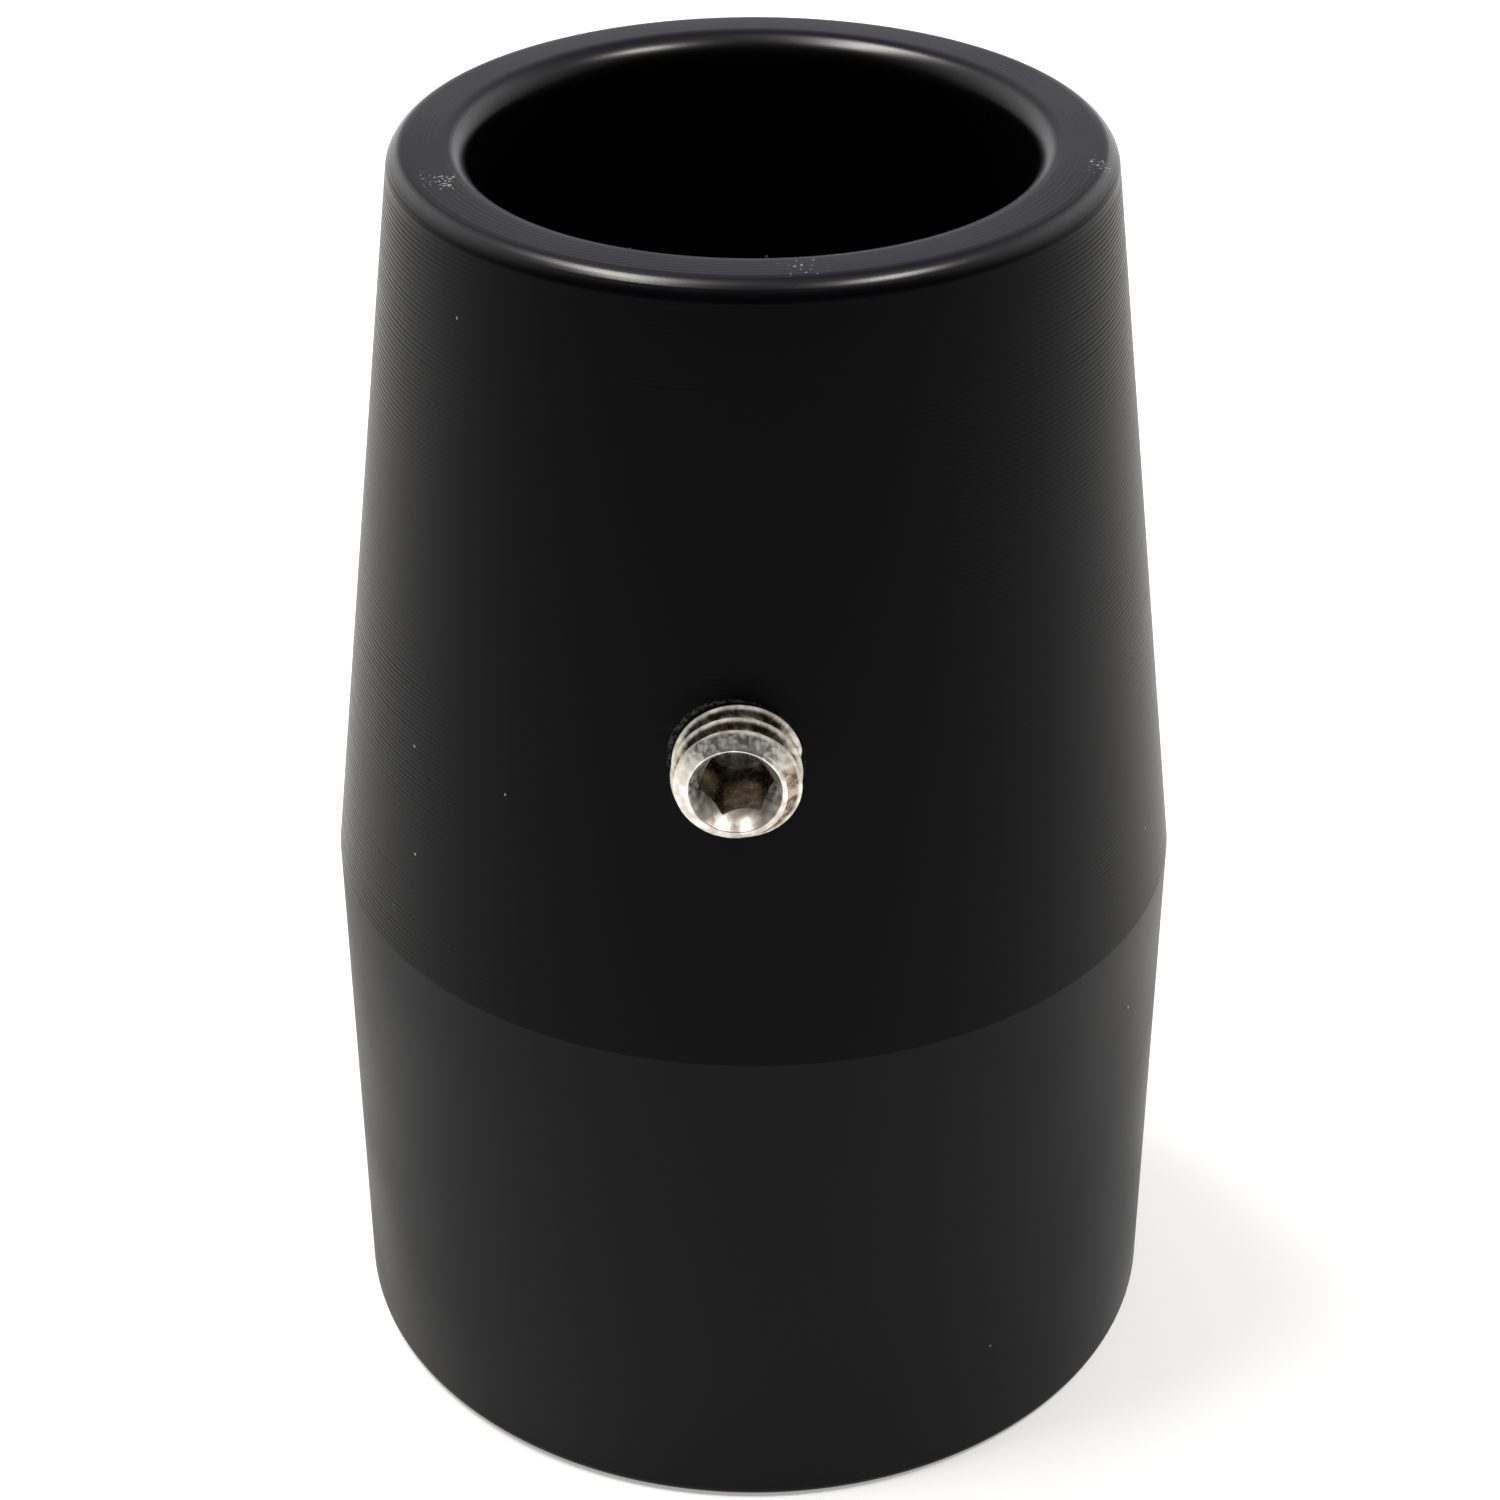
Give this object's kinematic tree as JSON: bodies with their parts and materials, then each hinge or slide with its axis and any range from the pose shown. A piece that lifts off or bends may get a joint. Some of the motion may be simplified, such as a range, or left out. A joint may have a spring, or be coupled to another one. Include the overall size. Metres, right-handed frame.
{
  "type": "snoot",
  "caption": "Thick turned black plastic sleeve for narrowing a lamp's beam: straight lower half, tapered upper half, rounded mouth, bore right through, and a hex-socket set screw in its wall.",
  "frame": {"origin": "on the bore's axis, in the plane of the base face", "axes": "+Z along the bore from the base to the mouth; the set screw points along -Y, the front"},
  "size_m": [0.0572, 0.0579, 0.0868],
  "materials": {
    "body": "black acetal bar: satin drawn skin below the shoulder, fine turning rings on the taper and on the rim",
    "screw": "bright stainless steel, thread-rolled, with a broached hex socket"
  },
  "bodies": {
    "sleeve": {"snoot_body": "body"},
    "screw": {"set_screw": "screw"}
  },
  "joints": [
    {"name": "screw_travel", "type": "slide", "parent": "sleeve", "child": "screw", "axis": [0, -1, 0], "range_m": [-0.00564, 0.00423]}
  ]
}
